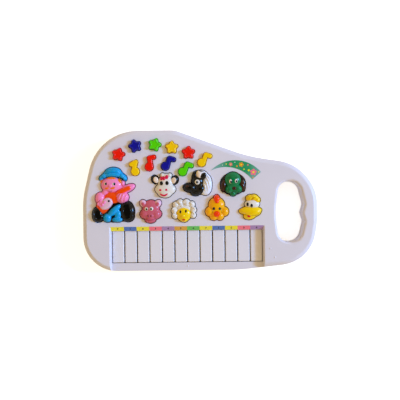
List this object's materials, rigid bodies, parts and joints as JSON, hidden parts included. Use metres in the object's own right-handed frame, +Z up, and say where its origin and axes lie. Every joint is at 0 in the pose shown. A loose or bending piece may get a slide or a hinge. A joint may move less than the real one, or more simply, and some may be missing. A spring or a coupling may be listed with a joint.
{
  "type": "toy keyboard",
  "caption": "Children's electronic keyboard in a rounded white case with a carrying handle, white keys, animal-head, star and note buttons and a seated musician ornament.",
  "frame": {"origin": "centre of the bounding box's bottom face, on the surface the keyboard lies on", "axes": "+X along the keys towards the handle, +Y away from the player, +Z up out of the panel"},
  "size_m": [0.356, 0.214, 0.0458],
  "materials": {
    "casing": "satin moulded ABS",
    "key": "polished moulded ABS",
    "figure": "painted moulded ABS, blue, pink, orange and black",
    "label": "printed film",
    "strip": "printed film, colour fields",
    "cow": "painted moulded ABS, white with black and crimson",
    "horse": "painted moulded ABS, black with white",
    "dog": "painted moulded ABS, green with brown",
    "pig": "painted moulded ABS, pink",
    "sheep": "painted moulded ABS, white with yellow",
    "chick": "painted moulded ABS, yellow with orange",
    "duck": "painted moulded ABS, yellow with white",
    "button_red": "moulded ABS",
    "button_blue": "moulded ABS",
    "button_green": "moulded ABS",
    "button_yellow": "moulded ABS",
    "steel": "zinc plated",
    "board": "phenolic board",
    "dome_rubber": "matt silicone",
    "ribbon": "flat cable",
    "black_plastic": "moulded",
    "lamp": "clear epoxy",
    "speaker_steel": "pressed steel",
    "speaker_paper": "pulp cone",
    "magnet": "ferrite",
    "black_lead": "insulated wire",
    "red_lead": "insulated wire",
    "cell": "wrapped cell"
  },
  "bodies": {
    "case": {"top_shell": "casing", "bottom_shell": "casing", "musician_figure": "figure", "figure_plate": "black_plastic", "panel_sticker": "label", "number_strip": "strip", "key_hinge_rod": "steel", "key_board": "board", "key_domes": "dome_rubber", "button_board": "board", "button_domes": "dome_rubber", "board_screws": "steel", "board_ribbon": "ribbon", "sound_chip": "black_plastic", "figure_lamp": "lamp", "speaker_frame": "speaker_steel", "speaker_cone": "speaker_paper", "speaker_magnet": "magnet", "speaker_leads": "black_lead", "battery_cells": "cell", "battery_springs": "steel", "battery_plates": "steel", "battery_leads": "red_lead", "battery_door": "casing", "battery_door_screw": "steel", "case_screws": "steel", "switch_body": "speaker_steel"},
    "key_01": {"key_01": "key"},
    "key_02": {"key_02": "key"},
    "key_03": {"key_03": "key"},
    "key_04": {"key_04": "key"},
    "key_05": {"key_05": "key"},
    "key_06": {"key_06": "key"},
    "key_07": {"key_07": "key"},
    "key_08": {"key_08": "key"},
    "key_09": {"key_09": "key"},
    "key_10": {"key_10": "key"},
    "key_11": {"key_11": "key"},
    "key_12": {"key_12": "key"},
    "cow_button": {"cow_button": "cow"},
    "horse_button": {"horse_button": "horse"},
    "dog_button": {"dog_button": "dog"},
    "pig_button": {"pig_button": "pig"},
    "sheep_button": {"sheep_button": "sheep"},
    "chick_button": {"chick_button": "chick"},
    "duck_button": {"duck_button": "duck"},
    "star_button_1": {"star_button_1": "button_red"},
    "star_button_2": {"star_button_2": "button_blue"},
    "star_button_3": {"star_button_3": "button_green"},
    "star_button_4": {"star_button_4": "button_yellow"},
    "star_button_5": {"star_button_5": "button_red"},
    "note_button_1": {"note_button_1": "button_yellow"},
    "note_button_2": {"note_button_2": "button_red"},
    "note_button_3": {"note_button_3": "button_blue"},
    "note_button_4": {"note_button_4": "button_green"},
    "note_button_5": {"note_button_5": "button_yellow"},
    "switch_knob": {"switch_knob": "black_plastic"}
  },
  "joints": [
    {"name": "key_01_hinge", "type": "hinge", "parent": "case", "child": "key_01", "pos_m": [-0.1245, -0.0348, 0.0205], "axis": [1, 0, 0], "range_deg": [0, 4], "stiffness_Nm_per_rad": 0.1, "springref_deg": -8.59, "deforming": ["key_domes"]},
    {"name": "key_02_hinge", "type": "hinge", "parent": "case", "child": "key_02", "pos_m": [-0.1055, -0.0348, 0.0205], "axis": [1, 0, 0], "range_deg": [0, 4], "stiffness_Nm_per_rad": 0.1, "springref_deg": -8.59, "deforming": ["key_domes"]},
    {"name": "key_03_hinge", "type": "hinge", "parent": "case", "child": "key_03", "pos_m": [-0.0865, -0.0348, 0.0205], "axis": [1, 0, 0], "range_deg": [0, 4], "stiffness_Nm_per_rad": 0.1, "springref_deg": -8.59, "deforming": ["key_domes"]},
    {"name": "key_04_hinge", "type": "hinge", "parent": "case", "child": "key_04", "pos_m": [-0.0675, -0.0348, 0.0205], "axis": [1, 0, 0], "range_deg": [0, 4], "stiffness_Nm_per_rad": 0.1, "springref_deg": -8.59, "deforming": ["key_domes"]},
    {"name": "key_05_hinge", "type": "hinge", "parent": "case", "child": "key_05", "pos_m": [-0.0485, -0.0348, 0.0205], "axis": [1, 0, 0], "range_deg": [0, 4], "stiffness_Nm_per_rad": 0.1, "springref_deg": -8.59, "deforming": ["key_domes"]},
    {"name": "key_06_hinge", "type": "hinge", "parent": "case", "child": "key_06", "pos_m": [-0.0295, -0.0348, 0.0205], "axis": [1, 0, 0], "range_deg": [0, 4], "stiffness_Nm_per_rad": 0.1, "springref_deg": -8.59, "deforming": ["key_domes"]},
    {"name": "key_07_hinge", "type": "hinge", "parent": "case", "child": "key_07", "pos_m": [-0.0105, -0.0348, 0.0205], "axis": [1, 0, 0], "range_deg": [0, 4], "stiffness_Nm_per_rad": 0.1, "springref_deg": -8.59, "deforming": ["key_domes"]},
    {"name": "key_08_hinge", "type": "hinge", "parent": "case", "child": "key_08", "pos_m": [0.0085, -0.0348, 0.0205], "axis": [1, 0, 0], "range_deg": [0, 4], "stiffness_Nm_per_rad": 0.1, "springref_deg": -8.59, "deforming": ["key_domes"]},
    {"name": "key_09_hinge", "type": "hinge", "parent": "case", "child": "key_09", "pos_m": [0.0275, -0.0348, 0.0205], "axis": [1, 0, 0], "range_deg": [0, 4], "stiffness_Nm_per_rad": 0.1, "springref_deg": -8.59, "deforming": ["key_domes"]},
    {"name": "key_10_hinge", "type": "hinge", "parent": "case", "child": "key_10", "pos_m": [0.0465, -0.0348, 0.0205], "axis": [1, 0, 0], "range_deg": [0, 4], "stiffness_Nm_per_rad": 0.1, "springref_deg": -8.59, "deforming": ["key_domes"]},
    {"name": "key_11_hinge", "type": "hinge", "parent": "case", "child": "key_11", "pos_m": [0.0655, -0.0348, 0.0205], "axis": [1, 0, 0], "range_deg": [0, 4], "stiffness_Nm_per_rad": 0.1, "springref_deg": -8.59, "deforming": ["key_domes"]},
    {"name": "key_12_hinge", "type": "hinge", "parent": "case", "child": "key_12", "pos_m": [0.0845, -0.0348, 0.0205], "axis": [1, 0, 0], "range_deg": [0, 4], "stiffness_Nm_per_rad": 0.1, "springref_deg": -8.59, "deforming": ["key_domes"]},
    {"name": "cow_button_press", "type": "slide", "parent": "case", "child": "cow_button", "axis": [0, 0, -1], "range_m": [0, 0.0025], "stiffness_N_per_m": 200, "springref_m": -0.002, "deforming": ["button_domes"]},
    {"name": "horse_button_press", "type": "slide", "parent": "case", "child": "horse_button", "axis": [0, 0, -1], "range_m": [0, 0.0025], "stiffness_N_per_m": 200, "springref_m": -0.002, "deforming": ["button_domes"]},
    {"name": "dog_button_press", "type": "slide", "parent": "case", "child": "dog_button", "axis": [0, 0, -1], "range_m": [0, 0.0025], "stiffness_N_per_m": 200, "springref_m": -0.002, "deforming": ["button_domes"]},
    {"name": "pig_button_press", "type": "slide", "parent": "case", "child": "pig_button", "axis": [0, 0, -1], "range_m": [0, 0.0025], "stiffness_N_per_m": 200, "springref_m": -0.002, "deforming": ["button_domes"]},
    {"name": "sheep_button_press", "type": "slide", "parent": "case", "child": "sheep_button", "axis": [0, 0, -1], "range_m": [0, 0.0025], "stiffness_N_per_m": 200, "springref_m": -0.002, "deforming": ["button_domes"]},
    {"name": "chick_button_press", "type": "slide", "parent": "case", "child": "chick_button", "axis": [0, 0, -1], "range_m": [0, 0.0025], "stiffness_N_per_m": 200, "springref_m": -0.002, "deforming": ["button_domes"]},
    {"name": "duck_button_press", "type": "slide", "parent": "case", "child": "duck_button", "axis": [0, 0, -1], "range_m": [0, 0.0025], "stiffness_N_per_m": 200, "springref_m": -0.002, "deforming": ["button_domes"]},
    {"name": "star_button_1_press", "type": "slide", "parent": "case", "child": "star_button_1", "axis": [0, 0, -1], "range_m": [0, 0.0025], "stiffness_N_per_m": 200, "springref_m": -0.002, "deforming": ["button_domes"]},
    {"name": "star_button_2_press", "type": "slide", "parent": "case", "child": "star_button_2", "axis": [0, 0, -1], "range_m": [0, 0.0025], "stiffness_N_per_m": 200, "springref_m": -0.002, "deforming": ["button_domes"]},
    {"name": "star_button_3_press", "type": "slide", "parent": "case", "child": "star_button_3", "axis": [0, 0, -1], "range_m": [0, 0.0025], "stiffness_N_per_m": 200, "springref_m": -0.002, "deforming": ["button_domes"]},
    {"name": "star_button_4_press", "type": "slide", "parent": "case", "child": "star_button_4", "axis": [0, 0, -1], "range_m": [0, 0.0025], "stiffness_N_per_m": 200, "springref_m": -0.002, "deforming": ["button_domes"]},
    {"name": "star_button_5_press", "type": "slide", "parent": "case", "child": "star_button_5", "axis": [0, 0, -1], "range_m": [0, 0.0025], "stiffness_N_per_m": 200, "springref_m": -0.002, "deforming": ["button_domes"]},
    {"name": "note_button_1_press", "type": "slide", "parent": "case", "child": "note_button_1", "axis": [0, 0, -1], "range_m": [0, 0.0025], "stiffness_N_per_m": 200, "springref_m": -0.002, "deforming": ["button_domes"]},
    {"name": "note_button_2_press", "type": "slide", "parent": "case", "child": "note_button_2", "axis": [0, 0, -1], "range_m": [0, 0.0025], "stiffness_N_per_m": 200, "springref_m": -0.002, "deforming": ["button_domes"]},
    {"name": "note_button_3_press", "type": "slide", "parent": "case", "child": "note_button_3", "axis": [0, 0, -1], "range_m": [0, 0.0025], "stiffness_N_per_m": 200, "springref_m": -0.002, "deforming": ["button_domes"]},
    {"name": "note_button_4_press", "type": "slide", "parent": "case", "child": "note_button_4", "axis": [0, 0, -1], "range_m": [0, 0.0025], "stiffness_N_per_m": 200, "springref_m": -0.002, "deforming": ["button_domes"]},
    {"name": "note_button_5_press", "type": "slide", "parent": "case", "child": "note_button_5", "axis": [0, 0, -1], "range_m": [0, 0.0025], "stiffness_N_per_m": 200, "springref_m": -0.002, "deforming": ["button_domes"]},
    {"name": "power_switch_slide", "type": "slide", "parent": "case", "child": "switch_knob", "axis": [1, 0, 0], "range_m": [0, 0.004]}
  ]
}
